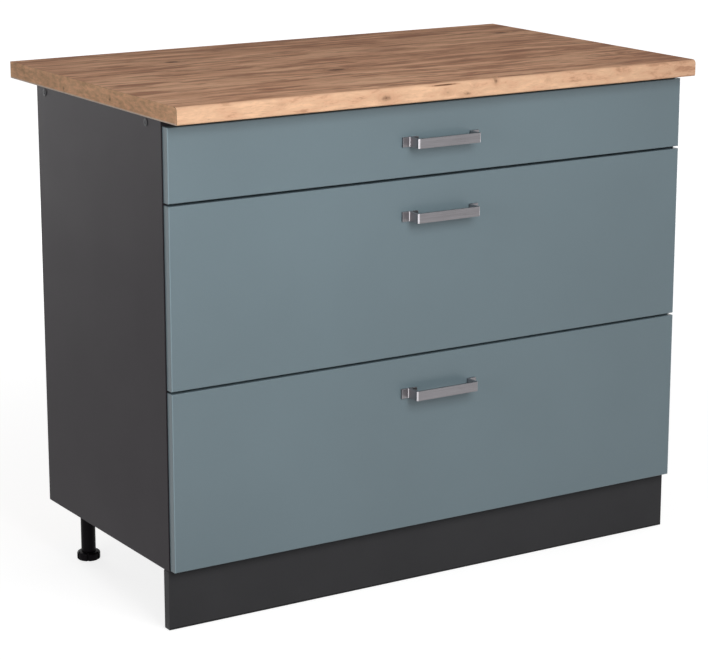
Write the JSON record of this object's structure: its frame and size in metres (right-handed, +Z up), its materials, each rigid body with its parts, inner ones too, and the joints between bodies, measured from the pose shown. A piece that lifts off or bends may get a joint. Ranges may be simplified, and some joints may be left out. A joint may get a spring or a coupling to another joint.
{
  "type": "base cabinet with drawers",
  "caption": "Kitchen base cabinet with a low drawer over deep drawers, strap handles, levelling legs, a clip-on plinth and a wood-decor worktop.",
  "frame": {"origin": "on the floor under the middle of the worktop", "axes": "+X to the right as the user faces the drawers, +Y to the wall behind, +Z up; the drawers open along -Y"},
  "size_m": [1, 0.6, 0.85],
  "materials": {
    "oak_worktop": "satin laminate with a knotty oak decor, on a chipboard core",
    "anthracite_board": "melamine-faced chipboard with a fine pearl texture, anthracite",
    "blue_grey_front": "semi-gloss blue-grey foil on a 16 mm board",
    "plinth_board": "melamine-faced chipboard, dark anthracite",
    "back_board": "thin hardboard, raw brown fibre outside and light grey lacquer inside",
    "drawer_board": "melamine-faced chipboard, light grey",
    "coated_steel": "grey epoxy coat on bent steel sheet",
    "brushed_nickel": "brushed stainless-steel look",
    "zinc_screw": "zinc-plated",
    "roller_nylon": "natural nylon",
    "black_plastic": "moulded black plastic",
    "white_plastic": "extruded plastic",
    "seal_plastic": "black sealing strip"
  },
  "bodies": {
    "cabinet": {"back_joint_strip": "white_plastic", "back_panel_left": "back_board", "back_panel_right": "back_board", "bottom_panel": "anthracite_board", "bottom_rail_left": "coated_steel", "bottom_rail_right": "coated_steel", "cam_fittings": "zinc_screw", "carcass_screws": "zinc_screw", "front_rail": "anthracite_board", "leg_sockets": "black_plastic", "leg_tube_front_left": "black_plastic", "leg_tube_front_right": "black_plastic", "leg_tube_rear_left": "black_plastic", "leg_tube_rear_right": "black_plastic", "middle_rail_left": "coated_steel", "middle_rail_right": "coated_steel", "rear_rail": "anthracite_board", "side_panel_left": "anthracite_board", "side_panel_right": "anthracite_board", "top_rail_left": "coated_steel", "top_rail_right": "coated_steel", "worktop": "oak_worktop", "worktop_screws": "zinc_screw"},
    "top_drawer": {"top_back_board": "drawer_board", "top_bottom_board": "drawer_board", "top_front": "blue_grey_front", "top_handle": "brushed_nickel", "top_handle_screws": "zinc_screw", "top_side_left": "coated_steel", "top_side_right": "coated_steel"},
    "top_front_rollers": {"top_front_rollers": "roller_nylon"},
    "top_rear_rollers": {"top_rear_rollers": "roller_nylon"},
    "middle_drawer": {"middle_back_board": "drawer_board", "middle_bottom_board": "drawer_board", "middle_front": "blue_grey_front", "middle_gallery_rails": "coated_steel", "middle_handle": "brushed_nickel", "middle_handle_screws": "zinc_screw", "middle_side_left": "coated_steel", "middle_side_right": "coated_steel"},
    "middle_front_rollers": {"middle_front_rollers": "roller_nylon"},
    "middle_rear_rollers": {"middle_rear_rollers": "roller_nylon"},
    "bottom_drawer": {"bottom_back_board": "drawer_board", "bottom_bottom_board": "drawer_board", "bottom_front": "blue_grey_front", "bottom_gallery_rails": "coated_steel", "bottom_handle": "brushed_nickel", "bottom_handle_screws": "zinc_screw", "bottom_side_left": "coated_steel", "bottom_side_right": "coated_steel"},
    "bottom_front_rollers": {"bottom_front_rollers": "roller_nylon"},
    "bottom_rear_rollers": {"bottom_rear_rollers": "roller_nylon"},
    "plinth": {"plinth_board": "plinth_board", "plinth_clips": "black_plastic", "plinth_seal": "seal_plastic"},
    "foot_front_left": {"foot_front_left": "black_plastic"},
    "foot_front_right": {"foot_front_right": "black_plastic"},
    "foot_rear_left": {"foot_rear_left": "black_plastic"},
    "foot_rear_right": {"foot_rear_right": "black_plastic"}
  },
  "joints": [
    {"name": "top_drawer_slide", "type": "slide", "parent": "cabinet", "child": "top_drawer", "axis": [0, -1, 0], "range_m": [0, 0.3]},
    {"name": "top_front_rollers_spin", "type": "hinge", "parent": "cabinet", "child": "top_front_rollers", "pos_m": [0, -0.227, 0.734], "axis": [1, 0, 0], "range_deg": [0, 1640]},
    {"name": "top_rear_rollers_spin", "type": "hinge", "parent": "top_drawer", "child": "top_rear_rollers", "pos_m": [0, 0.1428, 0.734], "axis": [1, 0, 0], "range_deg": [0, 1640]},
    {"name": "middle_drawer_slide", "type": "slide", "parent": "cabinet", "child": "middle_drawer", "axis": [0, -1, 0], "range_m": [0, 0.3]},
    {"name": "middle_front_rollers_spin", "type": "hinge", "parent": "cabinet", "child": "middle_front_rollers", "pos_m": [0, -0.227, 0.437], "axis": [1, 0, 0], "range_deg": [0, 1640]},
    {"name": "middle_rear_rollers_spin", "type": "hinge", "parent": "middle_drawer", "child": "middle_rear_rollers", "pos_m": [0, 0.1428, 0.437], "axis": [1, 0, 0], "range_deg": [0, 1640]},
    {"name": "bottom_drawer_slide", "type": "slide", "parent": "cabinet", "child": "bottom_drawer", "axis": [0, -1, 0], "range_m": [0, 0.3]},
    {"name": "bottom_front_rollers_spin", "type": "hinge", "parent": "cabinet", "child": "bottom_front_rollers", "pos_m": [0, -0.227, 0.14], "axis": [1, 0, 0], "range_deg": [0, 1640]},
    {"name": "bottom_rear_rollers_spin", "type": "hinge", "parent": "bottom_drawer", "child": "bottom_rear_rollers", "pos_m": [0, 0.1428, 0.14], "axis": [1, 0, 0], "range_deg": [0, 1640]},
    {"name": "front_left_foot_screw", "type": "slide", "parent": "cabinet", "child": "foot_front_left", "axis": [0, 0, -1], "range_m": [0, 0.02]},
    {"name": "front_right_foot_screw", "type": "slide", "parent": "cabinet", "child": "foot_front_right", "axis": [0, 0, -1], "range_m": [0, 0.02]},
    {"name": "rear_left_foot_screw", "type": "slide", "parent": "cabinet", "child": "foot_rear_left", "axis": [0, 0, -1], "range_m": [0, 0.02]},
    {"name": "rear_right_foot_screw", "type": "slide", "parent": "cabinet", "child": "foot_rear_right", "axis": [0, 0, -1], "range_m": [0, 0.02]},
    {"name": "plinth_pull", "type": "slide", "parent": "cabinet", "child": "plinth", "axis": [0, -1, 0], "range_m": [0, 0.06]}
  ],
  "couplings": [
    {"joint": "top_front_rollers_spin", "follows": "top_drawer_slide", "rad_per_m": 95.238},
    {"joint": "top_rear_rollers_spin", "follows": "top_drawer_slide", "rad_per_m": 95.238},
    {"joint": "middle_front_rollers_spin", "follows": "middle_drawer_slide", "rad_per_m": 95.238},
    {"joint": "middle_rear_rollers_spin", "follows": "middle_drawer_slide", "rad_per_m": 95.238},
    {"joint": "bottom_front_rollers_spin", "follows": "bottom_drawer_slide", "rad_per_m": 95.238},
    {"joint": "bottom_rear_rollers_spin", "follows": "bottom_drawer_slide", "rad_per_m": 95.238}
  ]
}
